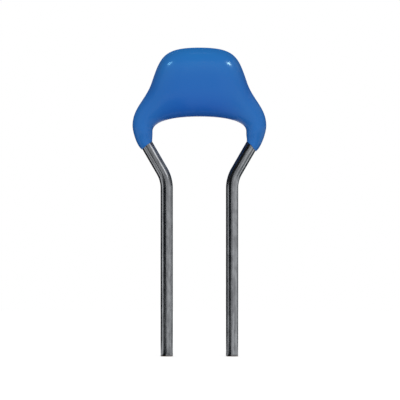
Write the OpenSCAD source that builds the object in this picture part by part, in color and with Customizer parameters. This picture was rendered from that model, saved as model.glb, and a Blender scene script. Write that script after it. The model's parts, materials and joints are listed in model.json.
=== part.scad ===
// Radial-lead ceramic capacitor: a multilayer ceramic chip, soldered between two kinked wire leads and
// dipped in a coloured insulating coat.
// Millimetres, +Z up, leads down. The origin lies midway between the leads, on the plane where their
// straight ends begin. Left is -X and right is +X.

/* [Leads] */

// Diameter of the tinned wire
lead_d = 0.48; // [0.40:0.01:0.56]

// Distance between the centres of the two straight lead ends
lead_pitch = 2.54; // [2.40:0.01:2.80]

// Length of each straight lead end, from the seat bend to the cut tip
lead_length = 6.54; // [2.00:0.01:25.00]

// Lean of the lead between the seat bend and the knee, in degrees from upright
kink_angle = 30; // [26:1:35]

// Lean of the lead between the knee and the chip, in degrees from upright
spread_angle = 45; // [40:1:49]

// Distance between the two knee corners, where the leaning stretches of each lead would cross
knee_span = 4.92; // [4.80:0.01:5.30]

// Bend radius where the lead turns straight down, on the centre line
seat_bend_r = 1.3; // [0.6:0.1:1.6]

// Bend radius of the knee, on the centre line
knee_bend_r = 1.0; // [0.80:0.05:1.10]

// Bend radius where the lead turns upright beside the chip, on the centre line
shoulder_bend_r = 0.8; // [0.60:0.05:1.00]

// Length of the upright lead end that lies along the chip
lead_run = 0.8; // [0.50:0.01:0.85]

/* [Chip] */

// Length of the chip, over both terminations
chip_l = 2.0; // [1.80:0.01:2.20]

// Height of the chip
chip_h = 1.25; // [1.00:0.01:1.50]

// Thickness of the chip, front to back
chip_t = 1.25; // [1.00:0.01:1.60]

// How far the chip hangs below the point where the leads turn upright
chip_drop = 0.15; // [0.00:0.01:0.25]

// Rounding of the long edges of the chip
chip_edge_r = 0.08; // [0.04:0.01:0.15]

// Thickness of the metal of a termination
termination_t = 0.04; // [0.02:0.01:0.08]

// Width of the band that a termination folds round the chip
termination_band = 0.4; // [0.2:0.05:0.6]

// Number of electrode plates on each side
plates_per_side = 6; // [2:1:8]

// Thickness of one electrode plate
plate_t = 0.02; // [0.010:0.005:0.025]

// Ceramic left round the edges of the plates, and in front of and behind the stack
plate_margin = 0.15; // [0.10:0.01:0.20]

/* [Solder] */

// Layer of solder between the lead and the termination
solder_gap = 0.03; // [0.02:0.01:0.08]

// Solder round the rest of the wire
solder_skin = 0.05; // [0.03:0.01:0.08]

// Width of the solder on the end of the chip, in wire diameters
solder_spread = 1.8; // [1.60:0.05:2.00]

// Length of bare wire above the solder
solder_bare = 0.15; // [0.05:0.01:0.25]

/* [Coat] */

// Coat above the chip
coat_crown = 0.43; // [0.30:0.01:0.60]

// Coat below the chip, down to the top of the arch
coat_under = 1.005; // [0.800:0.005:1.200]

// Coat in front of the chip, and behind it
coat_face = 0.4; // [0.30:0.01:0.80]

// Coat beside the upright lead, at the flank
coat_flank = 0.352; // [0.300:0.001:0.600]

// Coat on each side of the lead at the knee
coat_knee = 0.15; // [0.10:0.01:0.25]

// Coat on the lead at the lower edge of each leg
coat_toe = 0.03; // [0.02:0.01:0.06]

// Length of coat on the straight lead below the knee bend, along its centre line
toe_run = 0.12; // [0.05:0.01:0.30]

// How much lower the coat ends on the outside of the lead than on the inside
toe_slant = 0.12; // [0.00:0.01:0.20]

// Height of the flank above the lower edge of the chip
flank_rise = 0.30; // [0.15:0.01:0.45]

// Lean of the flank, in degrees from upright
flank_lean = 19; // [10:1:28]

// Drop from the top of the arch to the knee, inside the leg
arch_drop = 0.572; // [0.400:0.001:0.650]

// How far the widest point of the coat lies above the widest point of the lead
knee_rise = 0.18; // [0.00:0.01:0.25]

// Lean of the coat where it closes on the lead, in degrees from upright
toe_lean = 52; // [40:1:60]

// Fullness of the upper corners of the coat, where 0.55 is a round corner
corner_fullness = 0.768; // [0.600:0.001:0.850]

// Fullness of the shoulders, where the coat runs from the flanks out to the knees
shoulder_fullness = 0.418; // [0.300:0.001:0.500]

// Fullness of the legs below the knees
toe_fullness = 0.238; // [0.150:0.001:0.350]

// Fullness of the arch between the legs, where 0.55 is a round arch
arch_fullness = 0.632; // [0.550:0.001:0.750]

// Fullness of the front-to-back section of the body, where 2 is an ellipse
face_fullness = 2.7; // [2.2:0.1:3.4]

// How much fuller that section is towards the top than towards the arch
face_slope = 0.15; // [0.00:0.01:0.25]

/* [Hidden] */

$fn = 64;

coat_colour = [0.18, 0.41, 0.70];
ceramic_colour = [0.72, 0.62, 0.50];
plate_colour = [0.60, 0.58, 0.55];
termination_colour = [0.78, 0.78, 0.76];
solder_colour = [0.62, 0.63, 0.65];
lead_colour = [0.55, 0.56, 0.57];

// A bend stands proud of the straight wire by this much, so that the stretches of the wire join cleanly
bend_swell = 0.001;
bend_lap = sqrt(bend_swell * min(seat_bend_r, knee_bend_r, shoulder_bend_r)) / 2;

// Path of one lead, right-hand side, from the tip upwards
lead_r = lead_d / 2;
tip_x = lead_pitch / 2;
grip_x = chip_l / 2 + solder_gap + lead_r;
knee_x = knee_span / 2;
seat_z = seat_bend_r * tan(kink_angle / 2);
knee_z = seat_z + (knee_x - tip_x) / tan(kink_angle);
shoulder_z = knee_z + (knee_x - grip_x) / tan(spread_angle);
upright_z = shoulder_z + shoulder_bend_r * tan(spread_angle / 2);
knee_tangent = knee_bend_r * tan((kink_angle + spread_angle) / 2);
lower_run = (knee_x - tip_x) / sin(kink_angle) - seat_z - knee_tangent;
upper_run = (knee_x - grip_x) / sin(spread_angle) - knee_tangent - (upright_z - shoulder_z);

// Centre of the knee bend, which also marks how far out the lead reaches
knee_centre_x = knee_x - knee_tangent * sin(kink_angle) - knee_bend_r * cos(kink_angle);
knee_centre_z = knee_z - knee_tangent * cos(kink_angle) + knee_bend_r * sin(kink_angle);
reach_x = knee_centre_x + knee_bend_r;

// The chip hangs between the upright ends of the leads
chip_bottom = upright_z - chip_drop;
chip_mid = chip_bottom + chip_h / 2;
block_l = chip_l - 2 * termination_t;
block_h = chip_h - 2 * termination_t;
block_t = chip_t - 2 * termination_t;
block_edge_r = chip_edge_r - termination_t / 2;
plate_pitch = (block_t - 2 * plate_margin - plate_t) / (2 * plates_per_side - 1);

// Outline of the coat, right-hand half, as points [x, z] and the curves between them
crown = [0, chip_bottom + chip_h + coat_crown];
flank = [grip_x + lead_r + coat_flank, chip_bottom + flank_rise];
knee_out = [reach_x + lead_r + coat_knee, knee_centre_z + knee_rise];
arch = [0, chip_bottom - coat_under];
knee_in = [reach_x - lead_r - coat_knee, arch[1] - arch_drop];
lead_dir = [sin(kink_angle), cos(kink_angle)];
toe_centre = [knee_x, knee_z] - (knee_tangent + toe_run) * lead_dir;
toe_across = (lead_r + coat_toe) * [lead_dir[1], -lead_dir[0]] - toe_slant / 2 * lead_dir;
toe_out = toe_centre + toe_across;
toe_in = toe_centre - toe_across;
flank_dir = [sin(flank_lean), -cos(flank_lean)];
toe_dir = [-sin(toe_lean), -cos(toe_lean)];
shoulder_ease = shoulder_fullness * (flank[1] - knee_out[1]);
toe_ease = toe_fullness * norm(knee_out - toe_out);
crown_curve = [
    crown,
    crown + [corner_fullness * flank[0], 0],
    flank - corner_fullness * (crown[1] - flank[1]) * flank_dir,
    flank];
shoulder_curve = [
    flank,
    flank + shoulder_ease * flank_dir,
    knee_out + [0, shoulder_ease],
    knee_out];
toe_curve = [
    knee_out,
    knee_out - [0, toe_ease],
    toe_out - toe_ease * toe_dir,
    toe_out];
arch_curve = [
    arch,
    arch + [arch_fullness * knee_in[0], 0],
    knee_in + [0, arch_fullness * arch_drop],
    knee_in];
leg_curve = [
    knee_in,
    knee_in - [0, toe_ease],
    toe_in + toe_ease * [0, 0.2],
    toe_in];

// Rings of the coat, from one toe over the body to the other toe. Along each half, the ring at 0 is in
// the middle of the body and the ring at 1 is the toe.
half_rings = 32;
ring_points = 40;
narrows_at = 0.06;
flank_at = 0.46;
knee_at = 0.76;
body_half_t = chip_t / 2 + coat_face;
leg_half_t = norm(knee_out - knee_in) / 2;

function curve(p, t) =
    pow(1 - t, 3) * p[0] + 3 * t * pow(1 - t, 2) * p[1] + 3 * t * t * (1 - t) * p[2] + pow(t, 3) * p[3];

function outer_at(s) =
    s < flank_at ? curve(crown_curve, s / flank_at)
    : s < knee_at ? curve(shoulder_curve, (s - flank_at) / (knee_at - flank_at))
    : curve(toe_curve, (s - knee_at) / (1 - knee_at));

function inner_at(s) =
    s < knee_at ? curve(arch_curve, s / knee_at)
    : curve(leg_curve, (s - knee_at) / (1 - knee_at));

// Share of the leg in a section: 0 in the middle of the body, 1 from the knee down
function leg_share(s) =
    let (t = min(1, max(0, (s - narrows_at) / (knee_at - narrows_at))))
    t * t * (3 - 2 * t);

function signed_power(v, e) = sign(v) * pow(abs(v), e);

// One point of a ring: s runs from -1 to 1 along the coat, a runs round the section
function ring_point(s, a) =
    let (
        u = abs(s),
        side = s < 0 ? -1 : 1,
        middle = (outer_at(u) + inner_at(u)) / 2,
        half = (outer_at(u) - inner_at(u)) / 2,
        share = leg_share(u),
        depth = body_half_t * (1 - share) + min(norm(half), leg_half_t) * share,
        e = 2 / (face_fullness * (1 - share) + 2 * share),
        c = signed_power(cos(a), e),
        p = middle + half * c,
        y = depth * (1 + face_slope * (1 - share) * c) * signed_power(sin(a), e))
    [side * p[0], y, p[1]];

module coat_blank() {
    rings = 2 * half_rings + 1;
    points = [
        for (i = [0 : rings - 1])
        for (j = [0 : ring_points - 1])
        ring_point((i - half_rings) / half_rings, 360 * j / ring_points)];
    walls = [
        for (i = [0 : rings - 2])
        for (j = [0 : ring_points - 1])
        let (
            a = i * ring_points + j,
            b = i * ring_points + (j + 1) % ring_points,
            c = b + ring_points,
            d = a + ring_points)
        each (i < half_rings ? [[a, b, c], [a, c, d]] : [[a, b, d], [b, c, d]])];
    start = [[for (j = [ring_points - 1 : -1 : 0]) j]];
    end = [[for (j = [0 : ring_points - 1]) (rings - 1) * ring_points + j]];
    polyhedron(points, concat(walls, start, end), convexity = 6);
}

// Bar along X with rounded long edges, centred on the chip
module rounded_bar(length, height, thickness, edge_r) {
    translate([0, 0, chip_mid])
    rotate([90, 0, 90])
    linear_extrude(length, center = true)
    offset(r = edge_r)
    square([thickness - 2 * edge_r, height - 2 * edge_r], center = true);
}

module block_bar() {
    rounded_bar(block_l, block_h, block_t, block_edge_r);
}

// Plates of one side: side is -1 for the left, 1 for the right
module plates(side) {
    first = side < 0 ? 0 : 1;
    length = block_l - plate_margin;
    for (i = [0 : plates_per_side - 1])
    translate([
        side * plate_margin / 2 - length / 2,
        -block_t / 2 + plate_margin + (2 * i + first) * plate_pitch,
        chip_mid - block_h / 2 + plate_margin])
    cube([length, plate_t, block_h - 2 * plate_margin]);
}

// End of the chip that a termination covers, still without its hollow
module termination_end(side) {
    intersection() {
        rounded_bar(chip_l, chip_h, chip_t, chip_edge_r);
        translate([side * chip_l / 2 - termination_band, -chip_t, chip_bottom - chip_h])
        cube([2 * termination_band, 2 * chip_t, 3 * chip_h]);
    }
}

module termination(side) {
    difference() {
        termination_end(side);
        block_bar();
    }
}

// Straight piece of wire in the XZ plane, from a point, leaning outwards by an angle from upright.
// Each end that meets a bend runs on into it.
module wire(x, z, lean, length, start_lap, end_lap) {
    translate([x, 0, z])
    rotate([0, lean, 0])
    translate([0, 0, -start_lap])
    cylinder(d = lead_d, h = start_lap + length + end_lap);
}

// Bend of the wire in the XZ plane, round a centre, between two angles from +X towards +Z
module bend(x, z, radius, from, sweep) {
    translate([x, 0, z])
    rotate([90, 0, 0])
    rotate_extrude(angle = sweep, start = from)
    translate([radius, 0])
    circle(r = lead_r + bend_swell);
}

module lead_wire() {
    wire(tip_x, -lead_length, 0, lead_length, 0, bend_lap);
    bend(tip_x + seat_bend_r, 0, seat_bend_r, 180 - kink_angle, kink_angle);
    wire(tip_x + seat_z * sin(kink_angle), seat_z + seat_z * cos(kink_angle),
         kink_angle, lower_run, bend_lap, bend_lap);
    bend(knee_centre_x, knee_centre_z, knee_bend_r, -kink_angle, kink_angle + spread_angle);
    wire(knee_x - knee_tangent * sin(spread_angle), knee_z + knee_tangent * cos(spread_angle),
         -spread_angle, upper_run, bend_lap, bend_lap);
    bend(grip_x + shoulder_bend_r, upright_z, shoulder_bend_r, 180, spread_angle);
    wire(grip_x, upright_z, 0, lead_run, bend_lap, 0);
}

// Solder from inside the end of the chip to the wire and round it
module solder_fill() {
    half_foot = solder_spread * lead_d / 2;
    skin_r = lead_r + solder_skin;
    start_x = chip_l / 2 - termination_t / 2;
    half_start = skin_r + (half_foot - skin_r) * (grip_x - start_x) / (grip_x - chip_l / 2);
    translate([0, 0, upright_z + solder_gap])
    linear_extrude(lead_run - solder_gap - solder_bare)
    union() {
        polygon([[start_x, -half_start], [grip_x, -skin_r], [grip_x, skin_r], [start_x, half_start]]);
        translate([grip_x, 0]) circle(r = skin_r);
    }
}

module solder_fillet() {
    difference() {
        solder_fill();
        termination_end(1);
        lead_wire();
    }
}

// Everything on the right-hand side that the coat closes round
module coated_half() {
    termination_end(1);
    solder_fill();
    lead_wire();
}

module ceramic_block() {
    color(ceramic_colour)
    difference() {
        block_bar();
        plates(-1);
        plates(1);
    }
}

module electrodes_left() {
    color(plate_colour) plates(-1);
}

module electrodes_right() {
    color(plate_colour) plates(1);
}

module termination_left() {
    color(termination_colour) termination(-1);
}

module termination_right() {
    color(termination_colour) termination(1);
}

module solder_right() {
    color(solder_colour) solder_fillet();
}

module solder_left() {
    color(solder_colour) mirror([1, 0, 0]) solder_fillet();
}

module lead_right() {
    color(lead_colour) lead_wire();
}

module lead_left() {
    color(lead_colour) mirror([1, 0, 0]) lead_wire();
}

module coating() {
    color(coat_colour)
    difference() {
        coat_blank();
        block_bar();
        coated_half();
        mirror([1, 0, 0]) coated_half();
    }
}

coating();
ceramic_block();
electrodes_left();
electrodes_right();
termination_left();
termination_right();
solder_left();
solder_right();
lead_left();
lead_right();
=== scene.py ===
import json
import math

import bmesh
import bpy
import numpy as np
from bpy.props import FloatProperty, FloatVectorProperty, IntProperty, PointerProperty
from bpy.types import Operator, Panel, PropertyGroup
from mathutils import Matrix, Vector

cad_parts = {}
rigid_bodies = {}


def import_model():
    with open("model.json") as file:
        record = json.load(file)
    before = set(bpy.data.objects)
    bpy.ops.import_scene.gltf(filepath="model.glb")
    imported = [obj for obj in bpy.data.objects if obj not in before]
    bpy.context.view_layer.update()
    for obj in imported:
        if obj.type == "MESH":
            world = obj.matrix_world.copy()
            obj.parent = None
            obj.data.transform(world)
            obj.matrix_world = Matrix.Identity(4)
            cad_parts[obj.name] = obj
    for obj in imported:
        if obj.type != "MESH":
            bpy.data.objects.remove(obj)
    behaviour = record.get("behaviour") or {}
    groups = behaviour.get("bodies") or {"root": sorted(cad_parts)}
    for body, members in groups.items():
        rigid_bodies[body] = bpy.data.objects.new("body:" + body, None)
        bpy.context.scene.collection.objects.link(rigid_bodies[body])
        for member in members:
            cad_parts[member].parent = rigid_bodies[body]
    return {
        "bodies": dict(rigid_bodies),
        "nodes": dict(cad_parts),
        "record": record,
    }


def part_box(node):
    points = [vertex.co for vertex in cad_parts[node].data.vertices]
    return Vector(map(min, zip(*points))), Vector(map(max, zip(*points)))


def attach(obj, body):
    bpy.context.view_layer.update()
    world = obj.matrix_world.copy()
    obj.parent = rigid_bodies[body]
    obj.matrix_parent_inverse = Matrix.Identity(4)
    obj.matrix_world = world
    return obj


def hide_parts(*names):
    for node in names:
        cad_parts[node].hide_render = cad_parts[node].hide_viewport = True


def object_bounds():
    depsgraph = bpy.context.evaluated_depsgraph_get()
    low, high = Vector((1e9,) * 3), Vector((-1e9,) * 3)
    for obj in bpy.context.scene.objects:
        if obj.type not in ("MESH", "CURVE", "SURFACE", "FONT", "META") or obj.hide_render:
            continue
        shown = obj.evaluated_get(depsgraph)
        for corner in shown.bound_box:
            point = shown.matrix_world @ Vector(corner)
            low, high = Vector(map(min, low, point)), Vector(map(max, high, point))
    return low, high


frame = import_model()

bl_info = {
    "name": "Dipped Ceramic Capacitor",
    "version": (1, 0, 0),
    "blender": (4, 5, 0),
    "location": "View3D > Sidebar > Capacitor",
    "description": "Dresses a ceramic capacitor: dipped coat, tinned leads, chip and studio",
    "category": "Add Mesh",
}

MM = 0.001
UM = 0.000001

# What the CAD gives: the part's box, the sizes of its leads and two opposite corners of the chip
CAD_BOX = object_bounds()
FLOOR_Z = CAD_BOX[0][2]
MOUNTS = {m["name"]: m["dims"] for m in frame["record"]["mounts"]}
LEAD_END = MOUNTS["lead_left_end"]
LEAD_PITCH = MOUNTS["lead_pair"]["spacing_x_mm"] * MM
CHIP_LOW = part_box("termination_left")[0]
CHIP_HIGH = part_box("termination_right")[1]

# Fineness of the wire: longest gap between its rings, largest turn between them in a bend, fewest
# rings in a bend, and the rings that round off a tip
RING_GAP = 0.12 * MM
BEND_TURN = math.radians(2.0)
BEND_RINGS = 3
TIP_RINGS = 5

# Share of the tip's rounding that shows dark sheared metal, which also paints the shade line at the
# lead's end
CUT_SHARE = 0.9

# Shift of the streaks along each lead, in wire diameters, so that the two leads differ
STREAK_SHIFT = 7.0

# Point of the coat's main blue on a scale from 0, painted light at the crown, to 1, painted shade
# above the arch
MAIN_BLUE_AT = 0.3

# Colour of plain light
WHITE = (1.0, 1.0, 1.0)

# Collections of the pieces that the small lamps shine on
HIGHLIGHTED = "pieces_with_highlights"
LINED = "pieces_with_lines"

# Straight pieces in the sweep of a card
CARD_STEPS = 40


def length(name, description, default, low=0.0):
    """A property for a length, kept in metres."""
    return FloatProperty(
        name=name, description=description, default=default, min=low, unit="LENGTH", precision=6
    )


def angle(name, description, degrees):
    """A property for an angle, kept in radians."""
    return FloatProperty(
        name=name,
        description=description,
        default=math.radians(degrees),
        subtype="ANGLE",
        unit="ROTATION",
    )


def share(name, description, default, top=1.0):
    """A property for a plain ratio."""
    return FloatProperty(
        name=name,
        description=description,
        default=default,
        min=0.0,
        max=top,
        subtype="FACTOR",
        precision=3,
    )


def watts(name, description, default):
    """A property for the power of a lamp."""
    return FloatProperty(
        name=name, description=description, default=default, min=0.0, unit="POWER", precision=5
    )


def number(name, description, default, low, high):
    """A property for a whole number."""
    return IntProperty(
        name=name, description=description, default=default, min=low, max=high, subtype="UNSIGNED"
    )


def colour(name, description, default):
    """A property for a linear colour."""
    return FloatVectorProperty(
        name=name,
        description=description,
        default=default,
        min=0.0,
        max=1.0,
        size=3,
        subtype="COLOR",
    )


class CapacitorLeadSettings(PropertyGroup):
    """Sizes and finish of the two leads."""

    wire_d: length("Wire diameter", "Diameter of the tinned wire", 2 * LEAD_END["r_mm"] * MM)
    pitch: length("Pitch", "Distance between the straight lead ends", LEAD_PITCH)
    straight: length("Straight end", "Length of a straight lead end", LEAD_END["length_mm"] * MM)
    kink: angle("Kink", "Lean between the seat bend and the knee, from upright", 30)
    spread: angle("Spread", "Lean between the knee and the chip, from upright", 45)
    knee_span: length("Knee span", "Distance between the two knee corners", 4.92 * MM)
    seat_bend: length("Seat bend", "Bend radius where the lead turns straight down", 1.3 * MM)
    knee_bend: length("Knee bend", "Bend radius of the knee", 1.0 * MM)
    shoulder_bend: length("Shoulder bend", "Bend radius where the lead turns upright", 0.8 * MM)
    run: length("Upright run", "Length of lead along the chip", 0.8 * MM)
    solder_gap: length("Solder gap", "Solder between the lead and the chip", 0.03 * MM)
    cut_bevel: length("Cut bevel", "Rounding of the sheared tip", 0.022 * MM)
    # The wire is painted darker over this length above the cut tip: painted shade at the lead's end
    dark_tip_length: length("Cut smear", "Length of wire dulled by the shears", 0.12 * MM)
    sides: number("Sides", "Points round the wire", 56, 12, 128)
    tin: colour("Tin", "Bright side of the tin plating", (0.303, 0.314, 0.329))
    tarnish: colour("Tarnish", "Dull drawn streaks in the plating", (0.179, 0.184, 0.195))
    # The sheared core is real metal, kept dark so that it also paints the shade line at the lead's
    # end
    core: colour("Core", "Sheared metal at the tips", (0.22, 0.15, 0.11))


class CapacitorCoatSettings(PropertyGroup):
    """Sizes and finish of the dipped coat."""

    crown: length("Crown", "Coat above the chip", 0.43 * MM)
    under: length("Under", "Coat below the chip, down to the arch", 1.005 * MM)
    face: length("Face", "Coat in front of the chip and behind it", 0.4 * MM)
    flank: length("Flank", "Coat beside the upright lead", 0.352 * MM)
    knee: length("Knee", "Coat on each side of the lead at the knee", 0.15 * MM)
    toe: length("Toe", "Coat on the lead at the lower edge of a leg", 0.03 * MM)
    left_run: length("Left toe run", "Coat on the straight left lead below the knee", 0.095 * MM)
    right_run: length("Right toe run", "Coat on the straight right lead below the knee", 0.125 * MM)
    left_slant: length("Left toe slant", "Drop of the edge across the left lead", 0.09 * MM)
    right_slant: length("Right toe slant", "Drop of the edge across the right lead", 0.19 * MM)
    flank_rise: length("Flank rise", "Height of the flank above the chip's lower edge", 0.30 * MM)
    flank_lean: angle("Flank lean", "Lean of the flank from upright", 19)
    arch_drop: length("Arch drop", "Drop from the arch to the inside of the knee", 0.572 * MM)
    knee_rise: length("Knee rise", "Widest point of the coat above that of the lead", 0.18 * MM)
    toe_lean: angle("Toe lean", "Lean of the coat where it closes on the lead", 52)
    corner_fullness: share("Corner fullness", "Fullness of the upper corners", 0.768)
    shoulder_fullness: share("Shoulder fullness", "Fullness of the shoulders", 0.418)
    toe_fullness: share("Toe fullness", "Fullness of the legs below the knees", 0.238)
    arch_fullness: share("Arch fullness", "Fullness of the arch", 0.632)
    face_fullness: share(
        "Face fullness", "Fullness from front to back, where 2 is an ellipse", 2.7, top=6.0
    )
    face_slope: share("Face slope", "How much fuller the section is towards the top", 0.15)
    waver: length("Edge waver", "Unevenness of the coat's lower edge on the lead", 0.015 * MM)
    rings: number("Rings", "Rings along each half of the coat", 128, 24, 240)
    points: number("Points", "Points round each ring", 144, 24, 240)
    # The crown's lighter blue is painted light, and the deeper blue above the arch and at the flank
    # is painted shade
    lit_crown_blue: colour("Crown blue", "Colour at the crown, where it is thin", (0.016, 0.153, 0.448))
    blue: colour("Blue", "Main colour of the coat", (0.0205, 0.138, 0.438))
    shaded_blue: colour("Deep blue", "Colour where it gathers above the arch", (0.012, 0.107, 0.447))


class CapacitorChipSettings(PropertyGroup):
    """Finish of the pieces inside the coat."""

    ceramic: colour("Ceramic", "Fired ceramic body", (0.47, 0.34, 0.22))
    nickel: colour("Nickel", "Electrode plates", (0.36, 0.34, 0.31))
    plate: colour("Plating", "Tin plate of the end caps", (0.56, 0.56, 0.54))
    solder: colour("Solder", "Solder on the leads", (0.42, 0.43, 0.45))


class CapacitorStageSettings(PropertyGroup):
    """Camera, floor and lamps."""

    view_width: length("View width", "Width that the camera sees at the leads", 15.547 * MM)
    view_x: length("View centre X", "Middle of the view, left to right", 0.0235 * MM, low=-1.0)
    view_z: length("View centre Z", "Middle of the view, up and down", -0.4625 * MM, low=-1.0)
    distance: length("Distance", "Camera distance", 0.25)
    floor: length("Floor", "Width of the floor", 0.2)
    floor_paint: share("Floor paint", "How much light the floor gives back", 0.62)
    floor_glow: share("Floor glow", "Even light of the floor where it is seen", 0.52)
    ambient: share("Ambient", "Light from all round", 0.55)
    front: watts("Front lamp", "Power of the soft front lamp", 0.93)
    back: watts("Back lamp", "Power of the soft back lamp", 0.5)
    spark_left: watts("Left spark", "Power of the small left lamp", 0.0023)
    spark_right: watts("Right spark", "Power of the small right lamp", 0.0038)
    haze: watts("Left haze", "Power of the broad weak left lamp", 0.0008)
    strip: watts("Lead strip", "Power of the lamp that draws the line on the leads", 0.00034)


class CapacitorSettings(PropertyGroup):
    """All settings of the capacitor."""

    lead: PointerProperty(name="Leads", description="Leads", type=CapacitorLeadSettings)
    coat: PointerProperty(name="Coat", description="Coat", type=CapacitorCoatSettings)
    chip: PointerProperty(name="Chip", description="Chip", type=CapacitorChipSettings)
    stage: PointerProperty(name="Stage", description="Stage", type=CapacitorStageSettings)


class LeadPath:
    """Course of the right-hand lead in the XZ plane, from the cut tip to the top of the chip."""

    def __init__(self, lead):
        self.r = lead.wire_d / 2
        self.kink = lead.kink
        self.tip_x = lead.pitch / 2
        self.tip_z = -lead.straight
        self.knee_x = lead.knee_span / 2
        self.grip_x = CHIP_HIGH.x + lead.solder_gap + self.r
        seat = lead.seat_bend * math.tan(lead.kink / 2)
        shoulder = lead.shoulder_bend * math.tan(lead.spread / 2)
        self.knee_tangent = lead.knee_bend * math.tan((lead.kink + lead.spread) / 2)
        self.knee_z = seat + (self.knee_x - self.tip_x) / math.tan(lead.kink)
        upright_z = self.knee_z + (self.knee_x - self.grip_x) / math.tan(lead.spread) + shoulder
        self.top_z = upright_z + lead.run
        sin, cos = math.sin(lead.kink), math.cos(lead.kink)
        self.knee_centre = (
            self.knee_x - self.knee_tangent * sin - lead.knee_bend * cos,
            self.knee_z - self.knee_tangent * cos + lead.knee_bend * sin,
        )
        self.reach_x = self.knee_centre[0] + lead.knee_bend
        seat_centre = (self.tip_x + lead.seat_bend, 0.0)
        shoulder_centre = (self.grip_x + lead.shoulder_bend, upright_z)
        self.bends = [
            (seat_centre, lead.seat_bend, math.pi, math.pi - lead.kink),
            (self.knee_centre, lead.knee_bend, -lead.kink, lead.spread),
            (shoulder_centre, lead.shoulder_bend, math.pi + lead.spread, math.pi),
        ]

    def points(self):
        """Points along the lead, for the rings of its mesh."""
        stops = [np.array([[self.tip_x, self.tip_z]])]
        for (x, z), radius, start, end in self.bends:
            rings = max(BEND_RINGS, int(abs(end - start) / BEND_TURN) + 1)
            turns = np.linspace(start, end, rings)
            stops.append(np.stack([x + radius * np.cos(turns), z + radius * np.sin(turns)], 1))
        stops.append(np.array([[self.grip_x, self.top_z]]))
        line = stops[0]
        for part in stops[1:]:
            gap = part[0] - line[-1]
            count = max(1, math.ceil(np.linalg.norm(gap) / RING_GAP))
            fill = line[-1] + gap * np.linspace(0, 1, count + 1)[1:, None]
            line = np.vstack([line, fill, part[1:]])
        return line


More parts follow.
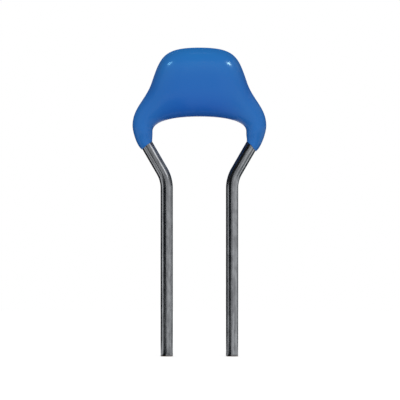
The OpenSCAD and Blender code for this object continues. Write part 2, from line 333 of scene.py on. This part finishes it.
class CoatForm:
    """Outline and rings of half the coat, from 0 in the middle of the body to 1 at the toe."""

    # Where the section starts to narrow, and where the flank and the knee lie
    narrows_at = 0.06
    flank_at = 0.46
    knee_at = 0.76

    # Ease of the inner edge into the toe, against that of the outer edge
    inner_ease = 0.2

    # Rings of the rounded lip, and how far it closes on the wire, where 1 is the wire's surface
    lip_rings = 5
    lip_hold = 0.985

    # Painted light and shade: where the painted light of the crown starts, where the painted shade
    # above the arch starts and its slope, and how deep and how wide the painted shade is at the
    # flank
    lit_from = 0.1
    shade_from = 0.5
    shade_slope = 0.75
    flank_shade = 0.45
    flank_shade_width = 0.13

    def __init__(self, coat, path, run, slant):
        self.full = coat.face_fullness
        self.slope = coat.face_slope
        self.body_half = CHIP_HIGH.y + coat.face
        crown = np.array([0.0, CHIP_HIGH.z + coat.crown])
        flank = np.array([path.grip_x + path.r + coat.flank, CHIP_LOW.z + coat.flank_rise])
        knee_out = np.array(
            [path.reach_x + path.r + coat.knee, path.knee_centre[1] + coat.knee_rise]
        )
        arch = np.array([0.0, CHIP_LOW.z - coat.under])
        knee_in = np.array([path.reach_x - path.r - coat.knee, arch[1] - coat.arch_drop])
        self.leg_half = np.linalg.norm(knee_out - knee_in) / 2
        self.along = np.array([math.sin(path.kink), math.cos(path.kink)])
        across = np.array([math.cos(path.kink), -math.sin(path.kink)])
        run_down = path.knee_tangent + run - coat.toe
        self.toe_centre = np.array([path.knee_x, path.knee_z]) - run_down * self.along
        self.toe_half = (path.r + coat.toe) * across - slant / 2 * self.along
        self.toe_thick = coat.toe
        self.wire_share = self.lip_hold * path.r / (path.r + coat.toe)
        toe_out = self.toe_centre + self.toe_half
        toe_in = self.toe_centre - self.toe_half
        flank_dir = np.array([math.sin(coat.flank_lean), -math.cos(coat.flank_lean)])
        toe_dir = np.array([-math.sin(coat.toe_lean), -math.cos(coat.toe_lean)])
        shoulder = coat.shoulder_fullness * (flank[1] - knee_out[1])
        toe = coat.toe_fullness * np.linalg.norm(knee_out - toe_out)
        corner = coat.corner_fullness
        self.crown_curve = [
            crown,
            crown + [corner * flank[0], 0],
            flank - corner * (crown[1] - flank[1]) * flank_dir,
            flank,
        ]
        self.shoulder_curve = [
            flank,
            flank + shoulder * flank_dir,
            knee_out + [0, shoulder],
            knee_out,
        ]
        self.toe_curve = [knee_out, knee_out - [0, toe], toe_out - toe * toe_dir, toe_out]
        self.arch_curve = [
            arch,
            arch + [coat.arch_fullness * knee_in[0], 0],
            knee_in + [0, coat.arch_fullness * coat.arch_drop],
            knee_in,
        ]
        self.leg_curve = [knee_in, knee_in - [0, toe], toe_in + [0, self.inner_ease * toe], toe_in]

    @staticmethod
    def curve(p, t):
        """A point of a cubic curve."""
        u = 1 - t
        return u**3 * p[0] + 3 * t * u**2 * p[1] + 3 * t * t * u * p[2] + t**3 * p[3]

    def outer(self, s):
        """Outer edge of the coat, from the crown to the toe."""
        if s < self.flank_at:
            return self.curve(self.crown_curve, s / self.flank_at)
        if s < self.knee_at:
            part = (s - self.flank_at) / (self.knee_at - self.flank_at)
            return self.curve(self.shoulder_curve, part)
        return self.curve(self.toe_curve, (s - self.knee_at) / (1 - self.knee_at))

    def inner(self, s):
        """Inner edge of the coat, from the top of the arch to the toe."""
        if s < self.knee_at:
            return self.curve(self.arch_curve, s / self.knee_at)
        return self.curve(self.leg_curve, (s - self.knee_at) / (1 - self.knee_at))

    def leg_share(self, s):
        """Share of the leg in a section: 0 in the middle of the body, 1 from the knee down."""
        t = min(1.0, max(0.0, (s - self.narrows_at) / (self.knee_at - self.narrows_at)))
        return t * t * (3 - 2 * t)

    def ring(self, s, turns):
        """Ring of the right-hand half at s, as rows of x, y, z."""
        outer, inner = self.outer(s), self.inner(s)
        middle, half = (outer + inner) / 2, (outer - inner) / 2
        leg = self.leg_share(s)
        depth = self.body_half * (1 - leg) + min(np.linalg.norm(half), self.leg_half) * leg
        power = 2 / (self.full * (1 - leg) + 2 * leg)
        up = np.sign(np.cos(turns)) * np.abs(np.cos(turns)) ** power
        back = np.sign(np.sin(turns)) * np.abs(np.sin(turns)) ** power
        flat = middle + up[:, None] * half
        swell = 1 + self.slope * (1 - leg) * up
        return np.stack([flat[:, 0], depth * swell * back, flat[:, 1]], 1)

    def painted_shading(self, s, turns):
        """Painted shading round a ring: 0 is painted light at the crown, 1 is painted shade just
        above the arch, and the flank gets painted shade too.
        """
        up = np.cos(turns)
        high = np.clip((up - self.lit_from) / (1 - self.lit_from), 0.0, 1.0)
        low = np.clip(self.shade_from - self.shade_slope * up, 0.0, 1.0)
        body = (1 - self.leg_share(s)) * ((1 - MAIN_BLUE_AT) * low * low - MAIN_BLUE_AT * high)
        near_flank = math.exp(-(((s - self.flank_at) / self.flank_shade_width) ** 2))
        flank = self.flank_shade * near_flank * np.clip(up, 0.0, 1.0)
        return np.clip(MAIN_BLUE_AT + body + flank, 0.0, 1.0)

    def lip(self, turns, waver):
        """Rings that close the right-hand toe round the wire, with an uneven edge."""
        depth = np.linalg.norm(self.toe_half)
        slow_wave = 0.6 * np.sin(2 * turns + 1.1)
        quick_wave = 0.4 * np.sin(5 * turns)
        uneven = waver * (slow_wave + quick_wave)
        rings = []
        for k in range(1, self.lip_rings + 1):
            roll = k / self.lip_rings * math.pi / 2
            size = self.wire_share + (1 - self.wire_share) * math.cos(roll)
            drop = self.toe_thick * math.sin(roll) + uneven * k / self.lip_rings
            level = self.toe_centre + size * np.cos(turns)[:, None] * self.toe_half
            flat = level - drop[:, None] * self.along
            rings.append(np.stack([flat[:, 0], size * depth * np.sin(turns), flat[:, 1]], 1))
        return rings


def receivers(name):
    """The collection of the pieces that a small lamp shines on, made when it is first asked for."""
    return bpy.data.collections.get(name) or bpy.data.collections.new(name)


def new_object(name, mesh):
    """A scene object for a mesh, shaded smooth."""
    mesh.shade_smooth()
    obj = bpy.data.objects.new(name, mesh)
    bpy.context.scene.collection.objects.link(obj)
    return obj


def skin_rings(mesh_name, rings):
    """A closed mesh whose rings of equal size are joined by quads, with a face at each end."""
    count = len(rings[0])
    bm = bmesh.new()
    rows = [[bm.verts.new(p) for p in ring] for ring in rings]
    for a, b in zip(rows, rows[1:]):
        for j in range(count):
            k = (j + 1) % count
            bm.faces.new((a[j], a[k], b[k], b[j]))
    bm.faces.new(list(reversed(rows[0])))
    bm.faces.new(rows[-1])
    bmesh.ops.recalc_face_normals(bm, faces=bm.faces)
    mesh = bpy.data.meshes.new(mesh_name)
    bm.to_mesh(mesh)
    bm.free()
    return mesh


def darker(tint, left):
    """A colour with only a share of its light left."""
    return tuple(left * c for c in tint)


class Shader:
    """Short way to write a material's nodes."""

    def __init__(self, name):
        self.material = bpy.data.materials.new(name)
        self.material.use_nodes = True
        self.tree = self.material.node_tree
        self.surface = self.tree.nodes["Principled BSDF"]
        self.output = self.tree.nodes["Material Output"]

    def add(self, kind, inputs=None, **settings):
        """Adds a node; an input that is a socket is linked, and any other is set."""
        node = self.tree.nodes.new(kind)
        for key, value in settings.items():
            setattr(node, key, value)
        for key, value in (inputs or {}).items():
            self.put(node.inputs[key], value)
        return node

    def put(self, socket, value):
        """Links a socket or sets it."""
        if isinstance(value, bpy.types.NodeSocket):
            self.tree.links.new(value, socket)
        else:
            socket.default_value = value

    def finish(self, **sockets):
        """Sets the surface's sockets by name, with _ for a space."""
        for key, value in sockets.items():
            self.put(self.surface.inputs[key.replace("_", " ")], value)
        return self.material

    def place(self):
        """Position on the object, in metres."""
        return self.add("ShaderNodeTexCoord").outputs["Object"]

    def attribute(self, name, output):
        """What the mesh keeps at its points under a name."""
        node = self.add("ShaderNodeAttribute", attribute_name=name, attribute_type="GEOMETRY")
        return node.outputs[output]

    def combine(self, operation, first, second):
        """Two values added up or multiplied."""
        node = self.add("ShaderNodeMath", {0: first, 1: second}, operation=operation)
        return node.outputs["Value"]

    def stretch(self, vector, scale):
        """A place stretched along its axes."""
        return self.add("ShaderNodeMapping", {"Vector": vector, "Scale": scale}).outputs["Vector"]

    def noise(self, vector, scale, detail=3.0, roughness=0.55):
        """Noise value at a place."""
        return self.add(
            "ShaderNodeTexNoise",
            {"Vector": vector, "Scale": scale, "Detail": detail, "Roughness": roughness},
        ).outputs["Fac"]

    def ramp(self, value, *stops):
        """Colours along a value, from stops of a place and a colour."""
        node = self.add("ShaderNodeValToRGB", {"Fac": value})
        elements = node.color_ramp.elements
        while len(elements) < len(stops):
            elements.new(0.5)
        for element, (place, tint) in zip(elements, stops):
            element.position = place
            element.color = (*tint, 1.0)
        return node.outputs["Color"]

    def span(self, value, low, high, start=0.3, end=0.7):
        """A value moved from the usual range of noise to another range."""
        return self.add(
            "ShaderNodeMapRange",
            {"Value": value, "From Min": start, "From Max": end, "To Min": low, "To Max": high},
        ).outputs["Result"]

    def bump(self, height, distance, strength, normal=None):
        """Surface relief of a real height, on top of another one if it is given."""
        inputs = {"Height": height, "Distance": distance, "Strength": strength}
        if normal is not None:
            inputs["Normal"] = normal
        return self.add("ShaderNodeBump", inputs).outputs["Normal"]


def dipped_epoxy(coat):
    """Glossy dipped coat: a slow random drift of colour, painted light at the crown, painted shade
    above the arch and at the flank, and faint orange peel.
    """
    s = Shader("dipped_epoxy")
    place = s.place()
    drift = s.noise(place, scale=520.0, detail=2.0)
    peel = s.noise(place, scale=5200.0, detail=2.0, roughness=0.4)
    grain = s.noise(place, scale=26000.0)
    # Painted light at the crown and painted shade above the arch and at the flank, under the random
    # drift
    shading_paint = s.attribute("painted_shading", "Fac")
    depth = s.combine("ADD", s.span(drift, low=-0.06, high=0.1), shading_paint)
    tint = s.ramp(depth, (0.0, coat.lit_crown_blue), (MAIN_BLUE_AT, coat.blue), (1.0, coat.shaded_blue))
    relief = s.bump(peel, distance=0.4 * UM, strength=0.4)
    return s.finish(
        Base_Color=tint,
        Roughness=s.span(grain, low=0.19, high=0.23),
        Specular_IOR_Level=0.16,
        Normal=relief,
    )


def wire_place(s, turned, along):
    """Place on a wire: round it and along it, each stretched by its own scale."""
    return s.stretch(s.attribute("wire", "Vector"), (turned, turned, along))


def tinned_wire(lead):
    """Drawn and tinned wire: streaks along it, dull blotches, fine pits, and painted shade
    darkening it towards the cut tip.
    """
    s = Shader("tinned_wire")
    streak = s.noise(wire_place(s, turned=3.2, along=0.35), scale=1.0, detail=4.0, roughness=0.6)
    blotch = s.noise(wire_place(s, turned=1.3, along=1.0), scale=1.4, detail=4.0, roughness=0.65)
    pits = s.noise(wire_place(s, turned=6.0, along=5.0), scale=2.0)
    wear = s.combine("MULTIPLY", streak, blotch)
    plating = s.ramp(wear, (0.16, lead.tarnish), (0.32, lead.tin))
    # Painted shade: darker towards the cut tip, for the shade line at the lead's end
    dark_tip = s.attribute("cut", "Fac")
    dull = (*darker(lead.tarnish, 0.45), 1.0)
    # Inputs 6 and 7 of a colour mix are its two colours, and output 2 is the mixed colour
    mix = s.add("ShaderNodeMix", {"Factor": dark_tip, 6: plating, 7: dull}, data_type="RGBA")
    tint = mix.outputs[2]
    relief = s.bump(streak, distance=0.8 * UM, strength=0.4)
    relief = s.bump(pits, distance=0.5 * UM, strength=0.4, normal=relief)
    return s.finish(
        Base_Color=tint,
        Metallic=1.0,
        Roughness=s.span(blotch, low=0.15, high=0.21),
        Normal=relief,
    )


def sheared_metal(lead):
    """Cut face of the wire: the real core drawn out in fine shear lines, kept dark so that it
    paints the shade line at the lead's end too.
    """
    s = Shader("sheared_metal")
    lines = s.noise(s.stretch(s.place(), (3.0, 0.4, 1.0)), scale=16000.0, detail=4.0)
    return s.finish(
        Base_Color=s.ramp(lines, (0.3, darker(lead.core, 0.4)), (0.7, lead.core)),
        Metallic=1.0,
        Roughness=s.span(lines, low=0.35, high=0.6),
        Normal=s.bump(lines, distance=6 * UM, strength=0.7),
    )


def fired_ceramic(chip):
    """Fired ceramic: fine grain with darker specks."""
    s = Shader("fired_ceramic")
    grain = s.noise(s.place(), scale=24000.0, detail=5.0, roughness=0.7)
    cloud = s.noise(s.place(), scale=2600.0)
    both = s.combine("MULTIPLY", grain, cloud)
    return s.finish(
        Base_Color=s.ramp(both, (0.12, darker(chip.ceramic, 0.62)), (0.34, chip.ceramic)),
        Roughness=s.span(grain, low=0.55, high=0.75),
        Normal=s.bump(grain, distance=2 * UM, strength=0.6),
    )


def metal_film(name, tint, scale, rough, relief):
    """Metal that has been plated, fired or melted on: small uneven grains in broad clouds."""
    s = Shader(name)
    grain = s.noise(s.place(), scale=scale, detail=4.0, roughness=0.6)
    cloud = s.noise(s.place(), scale=scale / 8, detail=2.0)
    return s.finish(
        Base_Color=s.ramp(cloud, (0.3, darker(tint, 0.6)), (0.65, tint)),
        Metallic=1.0,
        Roughness=s.span(grain, *rough),
        Normal=s.bump(grain, distance=relief, strength=0.6),
    )


def white_when_seen(tree, low):
    """A strength that is 1 where it is seen or mirrored, and low where it lights other things."""
    rays = tree.nodes.new("ShaderNodeLightPath")
    seen = rays.outputs["Is Camera Ray"]
    for name in ("Is Glossy Ray", "Is Transmission Ray"):
        most = tree.nodes.new("ShaderNodeMath")
        most.operation = "MAXIMUM"
        tree.links.new(seen, most.inputs[0])
        tree.links.new(rays.outputs[name], most.inputs[1])
        seen = most.outputs["Value"]
    step = tree.nodes.new("ShaderNodeMapRange")
    step.inputs["To Min"].default_value = low
    step.inputs["To Max"].default_value = 1.0
    tree.links.new(seen, step.inputs["Value"])
    return step.outputs["Result"]


class CAPACITOR_OT_stage(Operator):
    """Set up the camera, the white floor and surroundings, the lamps and what the leads mirror"""

    bl_idname = "capacitor.stage"
    bl_label = "Stage"

    def execute(self, context):
        scene, stage = context.scene, context.scene.capacitor.stage
        scene.view_settings.view_transform = "Standard"
        self.surroundings(scene, stage)
        self.camera(scene, stage)
        self.floor(stage)
        self.lamps(scene, stage)
        self.flags()
        return {"FINISHED"}

    def surroundings(self, scene, stage):
        """White all round where it is seen, and soft light on the object."""
        world = bpy.data.worlds.new("studio")
        world.use_nodes = True
        scene.world = world
        background = world.node_tree.nodes["Background"]
        background.inputs["Color"].default_value = (*WHITE, 1.0)
        strength = white_when_seen(world.node_tree, low=stage.ambient)
        world.node_tree.links.new(strength, background.inputs["Strength"])

    def camera(self, scene, stage):
        """A long lens, level with the leads, square to the face of the coat."""
        data = bpy.data.cameras.new("front_camera")
        data.sensor_width = 36.0
        data.lens = data.sensor_width * stage.distance / stage.view_width
        data.clip_start = 0.01
        data.clip_end = 10.0
        camera = bpy.data.objects.new("front_camera", data)
        camera.location = (stage.view_x, -stage.distance, stage.view_z)
        camera.rotation_euler = (math.pi / 2, 0.0, 0.0)
        scene.collection.objects.link(camera)
        scene.camera = camera

    def floor(self, stage):
        """A pale floor under the lead tips, open from below."""
        bm = bmesh.new()
        bmesh.ops.create_grid(bm, x_segments=4, y_segments=4, size=stage.floor / 2)
        mesh = bpy.data.meshes.new("floor")
        bm.to_mesh(mesh)
        bm.free()
        floor = new_object("floor", mesh)
        floor.location.z = FLOOR_Z
        s = Shader("pale_floor")
        s.tree.nodes.remove(s.surface)
        grey = stage.floor_paint
        paint = s.add("ShaderNodeBsdfDiffuse", {"Color": (grey, grey, grey, 1.0)})
        seen = s.combine("MULTIPLY", white_when_seen(s.tree, low=0.0), stage.floor_glow)
        glow = s.add("ShaderNodeEmission", {"Strength": seen})
        lit = s.add("ShaderNodeAddShader", {0: paint.outputs["BSDF"], 1: glow.outputs["Emission"]})
        clear = s.add("ShaderNodeBsdfTransparent")
        back = s.add("ShaderNodeNewGeometry").outputs["Backfacing"]
        face = s.add(
            "ShaderNodeMixShader", {0: back, 1: lit.outputs["Shader"], 2: clear.outputs["BSDF"]}
        )
        s.tree.links.new(face.outputs["Shader"], s.output.inputs["Surface"])
        floor.data.materials.append(s.material)

    def lamp(self, scene, name, power, size, target, towards, distance, tint=WHITE, only_on=None):
        """A lamp of a width and height that looks at a target, from a distance in a direction.

        A lamp that shines only on some pieces gives them highlights and no other light.
        """
        data = bpy.data.lights.new(name, "AREA")
        data.energy = power
        data.color = tint
        data.shape = "RECTANGLE"
        data.size, data.size_y = size
        lamp = bpy.data.objects.new(name, data)
        aim = np.array(towards) / np.linalg.norm(towards)
        lamp.location = np.array(target) + aim * distance
        lamp.rotation_euler = Vector(aim).to_track_quat("Z", "Y").to_euler()
        lamp.visible_glossy = only_on is not None
        lamp.visible_diffuse = only_on is None
        lamp.visible_camera = False
        scene.collection.objects.link(lamp)
        if only_on is not None:
            lamp.light_linking.receiver_collection = receivers(only_on)

    def lamps(self, scene, stage):
        """Soft lamps in front and behind, and small ones for the highlights on the pieces."""
        soft = {"size": (0.2, 0.2), "target": (0, 0, 2 * MM), "distance": 0.4}
        self.lamp(scene, "front_lamp", stage.front, towards=(0.1, -0.9, 0.36), **soft)
        self.lamp(scene, "back_lamp", stage.back, towards=(-0.15, 0.9, 0.4), **soft)
        sparks = (
            ("left_spark", stage.spark_left, -1, (-0.688, -0.421, 0.591), (0.35, 0.8, 1.0)),
            ("right_spark", stage.spark_right, 1, (0.7, -0.42, 0.578), (0.62, 0.97, 0.97)),
        )
        for name, power, side, towards, tint in sparks:
            self.lamp(
                scene,
                name,
                power,
                size=(5.4 * MM, 2.0 * MM),
                target=(side * 1.14 * MM, -0.85 * MM, 4.84 * MM),
                towards=towards,
                distance=20 * MM,
                tint=tint,
                only_on=HIGHLIGHTED,
            )
        self.lamp(
            scene,
            "left_haze",
            stage.haze,
            size=(22 * MM, 22 * MM),
            target=(0, 0, 3.5 * MM),
            towards=(-0.695, -0.719, 0.14),
            distance=21 * MM,
            only_on=HIGHLIGHTED,
        )
        self.lamp(
            scene,
            "lead_strip",
            stage.strip,
            size=(7 * MM, 7 * MM),
            target=(0, 0, 1 * MM),
            towards=(0.65, -0.66, 0.375),
            distance=22 * MM,
            only_on=LINED,
        )

    def flags(self):
        """Hoods over the body, and cards and mats round the leads, which only mirror images show.

        A profile is a row of reaches and heights. It is swept between two angles in degrees, where
        0 is at the camera and 90 at the right. A lead's mat also has the place of its centre.
        """
        dark = self.cloth("dark_cloth", (0.02, 0.025, 0.03), (0.042, 0.05, 0.058))
        grey = self.cloth("grey_cloth", (0.17, 0.2, 0.21), (0.22, 0.25, 0.26))
        dim = self.cloth("dim_cloth", (0.04, 0.06, 0.068), (0.06, 0.08, 0.088))
        pale = self.cloth("pale_cloth", (0.8, 0.81, 0.82), (0.9, 0.9, 0.9))
        slate = self.cloth("slate_cloth", (0.1, 0.11, 0.12), (0.14, 0.15, 0.16))
        blue = self.cloth("blue_cloth", (0.02, 0.11, 0.34), (0.03, 0.15, 0.42))
        shade = self.cloth("shade_cloth", (0.045, 0.048, 0.052), (0.07, 0.073, 0.078))
        mat_z = FLOOR_Z + 0.01 * MM
        brim = [(24 * MM, 2 * MM), (24 * MM, 13 * MM), (22 * MM, 22 * MM)]
        crown = [brim[-1], (14 * MM, 31 * MM), (3 * MM, 35 * MM)]
        hood = brim + crown[1:]
        split = (24 * MM, 12 * MM)
        far_card = [(30 * MM, mat_z), (60 * MM, mat_z), (60 * MM, 14 * MM)]
        near_card = [(20 * MM, mat_z), (20 * MM, 2 * MM)]
        back_mat = [(11 * MM, mat_z), (20 * MM, mat_z)]
        side_mat = [(12 * MM, mat_z), (22 * MM, mat_z)]
        lead_mat = [(0.26 * MM, mat_z), (17 * MM, mat_z)]
        foot = LEAD_PITCH / 2
        flags = (
            ("left_hood", -140, -15, hood, shade),
            ("right_brim", -15, 98, brim, pale),
            ("right_low_brim", 98, 125, [brim[0], split], grey),
            ("right_high_brim", 98, 125, [split] + brim[1:], pale),
            ("right_crown", -15, 125, crown, dark),
            ("back_right_hood", 125, 155, hood, slate),
            ("back_hood", 155, 205, hood, blue),
            ("back_left_hood", 205, 220, hood, slate),
            ("front_left_card", -68, -14, far_card, dark),
            ("front_card", -14, 11, far_card, pale),
            ("left_lead_mat", -68, -14, lead_mat, dark, -foot),
            ("right_lead_mat", -68, -14, lead_mat, dark, foot),
            ("back_left_card", -166, -98, near_card, dark),
            ("back_right_card", 118, 142, near_card, grey),
            ("back_card", 142, 168, near_card, dim),
            ("back_left_mat", -155, -92, back_mat, dark),
            ("back_right_mat", 96, 145, back_mat, dim),
            ("right_floor_card", 30, 68, side_mat, grey),
        )
        for flag in flags:
            self.flag(*flag)
        self.runner(
            "back_floor_strip", half=1.1 * MM, near=0.6 * MM, far=30 * MM, height=mat_z, cloth=dark
        )

    def cloth(self, name, low, high):
        """Cloth with a coarse weave between two colours."""
        s = Shader(name)
        weave = s.noise(s.place(), scale=900.0)
        tint = s.ramp(weave, (0.3, low), (0.7, high))
        return s.finish(Base_Color=tint, Roughness=0.9, Specular_IOR_Level=0.0)

    def runner(self, name, half, near, far, height, cloth):
        """A straight strip of cloth on the floor, which runs away from the camera."""
        mesh = bpy.data.meshes.new(name)
        corners = ((-half, near), (half, near), (half, far), (-half, far))
        mesh.from_pydata([(x, y, height) for x, y in corners], [], [(0, 1, 2, 3)])
        self.mirrored_only(new_object(name, mesh), cloth)

    def flag(self, name, start, end, profile, cloth, centre=0.0):
        """A curved card swept round the part or a lead, from a profile of reach and height."""
        turns = np.radians(np.linspace(start, end, CARD_STEPS + 1))
        bm = bmesh.new()
        rows = []
        for r, z in profile:
            points = [(centre + r * math.sin(t), -r * math.cos(t), z) for t in turns]
            rows.append([bm.verts.new(p) for p in points])
        for low, high in zip(rows, rows[1:]):
            for j in range(CARD_STEPS):
                bm.faces.new((low[j], low[j + 1], high[j + 1], high[j]))
        mesh = bpy.data.meshes.new(name)
        bm.to_mesh(mesh)
        bm.free()
        self.mirrored_only(new_object(name, mesh), cloth)

    def mirrored_only(self, card, cloth):
        """Covers a card with cloth and hides it from all but mirror images."""
        card.data.materials.append(cloth)
        card.visible_camera = False
        card.visible_diffuse = False
        card.visible_shadow = False
        card.visible_transmission = False


class CAPACITOR_OT_leads(Operator):
    """Build the two drawn, tinned and kinked leads with their sheared tips"""

    bl_idname = "capacitor.leads"
    bl_label = "Leads"

    def execute(self, context):
        lead = context.scene.capacitor.lead
        path = LeadPath(lead)
        finishes = [tinned_wire(lead), sheared_metal(lead)]
        for name, side in (("left", -1), ("right", 1)):
            wire = self.wire(f"lead_{name}_wire", lead, path, side)
            for finish in finishes:
                wire.data.materials.append(finish)
            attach(wire, "root")
            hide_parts(f"lead_{name}")
            receivers(LINED).objects.link(wire)
        return {"FINISHED"}

    def wire(self, name, lead, path, side):
        """One lead as rings along its course, rounded off at the cut tip."""
        line = path.points()
        steps = np.linalg.norm(np.diff(line, axis=0), axis=1)
        along = np.concatenate([[0.0], np.cumsum(steps)])
        heading = np.gradient(line, along, axis=0)
        heading /= np.linalg.norm(heading, axis=1)[:, None]
        centres, ways, radii, runs = [], [], [], []
        for roll in np.linspace(0, math.pi / 2, TIP_RINGS):
            runs.append(lead.cut_bevel * (1 - math.cos(roll)))
            radii.append(path.r - lead.cut_bevel * (1 - math.sin(roll)))
            centres.append(line[0] + heading[0] * runs[-1])
            ways.append(heading[0])
        for i in range(int(np.searchsorted(along, lead.cut_bevel)), len(line)):
            runs.append(along[i])
            radii.append(path.r)
            centres.append(line[i])
            ways.append(heading[i])
        turns = np.linspace(0, 2 * math.pi, lead.sides, endpoint=False)
        rings = []
        for centre, way, radius in zip(centres, ways, radii):
            out = np.array([way[1], -way[0]])
            flat = centre + radius * np.cos(turns)[:, None] * out
            rings.append(np.stack([side * flat[:, 0], radius * np.sin(turns), flat[:, 1]], 1))
        mesh = skin_rings(name, rings)
        self.keep_places(mesh, lead, turns, np.array(runs), side)
        obj = new_object(name, mesh)
        cut = path.tip_z + CUT_SHARE * lead.cut_bevel
        for face in mesh.polygons:
            is_end = len(face.vertices) > 4
            face.use_smooth = not is_end
            if is_end or face.center.z < cut:
                face.material_index = 1
        return obj

    def keep_places(self, mesh, lead, turns, runs, side):
        """Keeps each point's place round and along the wire, and how near it is to the cut."""
        count = len(turns)
        across = np.tile(np.cos(turns), len(runs))
        back = np.tile(np.sin(turns), len(runs))
        lengthwise = np.repeat(side * STREAK_SHIFT + runs / lead.wire_d, count)
        values = np.stack([across, back, lengthwise], 1)
        place = mesh.attributes.new("wire", "FLOAT_VECTOR", "POINT")
        place.data.foreach_set("vector", values.astype(np.float32).ravel())
        # Nearness to the cut tip, where the paint is darkened as painted shade
        near_cut = np.repeat(np.clip(1.0 - runs / lead.dark_tip_length, 0.0, 1.0), count)
        dark_tip = mesh.attributes.new("cut", "FLOAT", "POINT")
        dark_tip.data.foreach_set("value", near_cut.astype(np.float32))


class CAPACITOR_OT_coat(Operator):
    """Build the dipped coat, down to its uneven edge on each lead"""

    bl_idname = "capacitor.coat"
    bl_label = "Coat"

    def execute(self, context):
        settings = context.scene.capacitor
        coat = settings.coat
        path = LeadPath(settings.lead)
        turns = np.linspace(0, 2 * math.pi, coat.points, endpoint=False)
        left, left_painted_shading = self.half(coat, path, turns, coat.left_run, coat.left_slant)
        right, right_painted_shading = self.half(coat, path, turns, coat.right_run, coat.right_slant)
        mirror = np.array([-1.0, 1.0, 1.0])
        mesh = skin_rings("coat_skin", [ring * mirror for ring in left[:0:-1]] + right)
        # Painted light and shade at each point, for the coat's colour
        painted_shading = np.concatenate(left_painted_shading[:0:-1] + right_painted_shading)
        shading_paint = mesh.attributes.new("painted_shading", "FLOAT", "POINT")
        shading_paint.data.foreach_set("value", painted_shading.astype(np.float32))
        skin = new_object("coat_skin", mesh)
        skin.data.materials.append(dipped_epoxy(coat))
        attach(skin, "root")
        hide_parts("coating")
        receivers(HIGHLIGHTED).objects.link(skin)
        return {"FINISHED"}

    def half(self, coat, path, turns, run, slant):
        """Rings of one half, as on the right-hand side, and the painted light and shade at each."""
        form = CoatForm(coat, path, run, slant)
        stops = np.linspace(0.0, 1.0, coat.rings + 1)
        lip = form.lip(turns, coat.waver)
        rings = [form.ring(s, turns) for s in stops] + lip
        painted_shadings = [form.painted_shading(s, turns) for s in stops] + [np.full(len(turns), MAIN_BLUE_AT)] * len(lip)
        return rings, painted_shadings


class CAPACITOR_OT_chip(Operator):
    """Give the chip, its electrodes, end caps and solder their finishes"""

    bl_idname = "capacitor.chip"
    bl_label = "Chip"

    def execute(self, context):
        chip = context.scene.capacitor.chip
        finishes = {
            "ceramic_block": fired_ceramic(chip),
            "electrodes": metal_film(
                "fired_nickel", chip.nickel, scale=30000.0, rough=(0.4, 0.6), relief=0.8 * UM
            ),
            "termination": metal_film(
                "tin_plate", chip.plate, scale=22000.0, rough=(0.3, 0.5), relief=1.2 * UM
            ),
            "solder": metal_film(
                "bright_solder", chip.solder, scale=9000.0, rough=(0.15, 0.3), relief=2 * UM
            ),
        }
        for start, finish in finishes.items():
            pieces = [obj for name, obj in frame["nodes"].items() if name.startswith(start)]
            if not pieces:
                raise RuntimeError(f"The CAD has no piece whose name starts with {start}")
            for piece in pieces:
                piece.data.materials.clear()
                piece.data.materials.append(finish)
        return {"FINISHED"}


class VIEW3D_PT_capacitor(Panel):
    """Steps and settings of the capacitor"""

    bl_label = "Capacitor"
    bl_idname = "VIEW3D_PT_capacitor"
    bl_space_type = "VIEW_3D"
    bl_region_type = "UI"
    bl_category = "Capacitor"

    def draw(self, context):
        settings = context.scene.capacitor
        steps = (
            ("capacitor.stage", settings.stage),
            ("capacitor.leads", settings.lead),
            ("capacitor.coat", settings.coat),
            ("capacitor.chip", settings.chip),
        )
        for step, group in steps:
            box = self.layout.box()
            box.operator(step)
            for key in group.__annotations__:
                box.prop(group, key)


CLASSES = (
    CapacitorLeadSettings,
    CapacitorCoatSettings,
    CapacitorChipSettings,
    CapacitorStageSettings,
    CapacitorSettings,
    CAPACITOR_OT_stage,
    CAPACITOR_OT_leads,
    CAPACITOR_OT_coat,
    CAPACITOR_OT_chip,
    VIEW3D_PT_capacitor,
)


def register():
    for cls in CLASSES:
        bpy.utils.register_class(cls)
    bpy.types.Scene.capacitor = PointerProperty(type=CapacitorSettings)


def unregister():
    del bpy.types.Scene.capacitor
    for cls in reversed(CLASSES):
        bpy.utils.unregister_class(cls)


def main():
    """Clears all but the CAD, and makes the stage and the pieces."""
    kept = set(frame["nodes"].values()) | set(frame["bodies"].values())
    for obj in list(bpy.data.objects):
        if obj not in kept:
            bpy.data.objects.remove(obj)
    register()
    bpy.ops.capacitor.stage()
    bpy.ops.capacitor.leads()
    bpy.ops.capacitor.coat()
    bpy.ops.capacitor.chip()


if __name__ == "__main__":
    main()
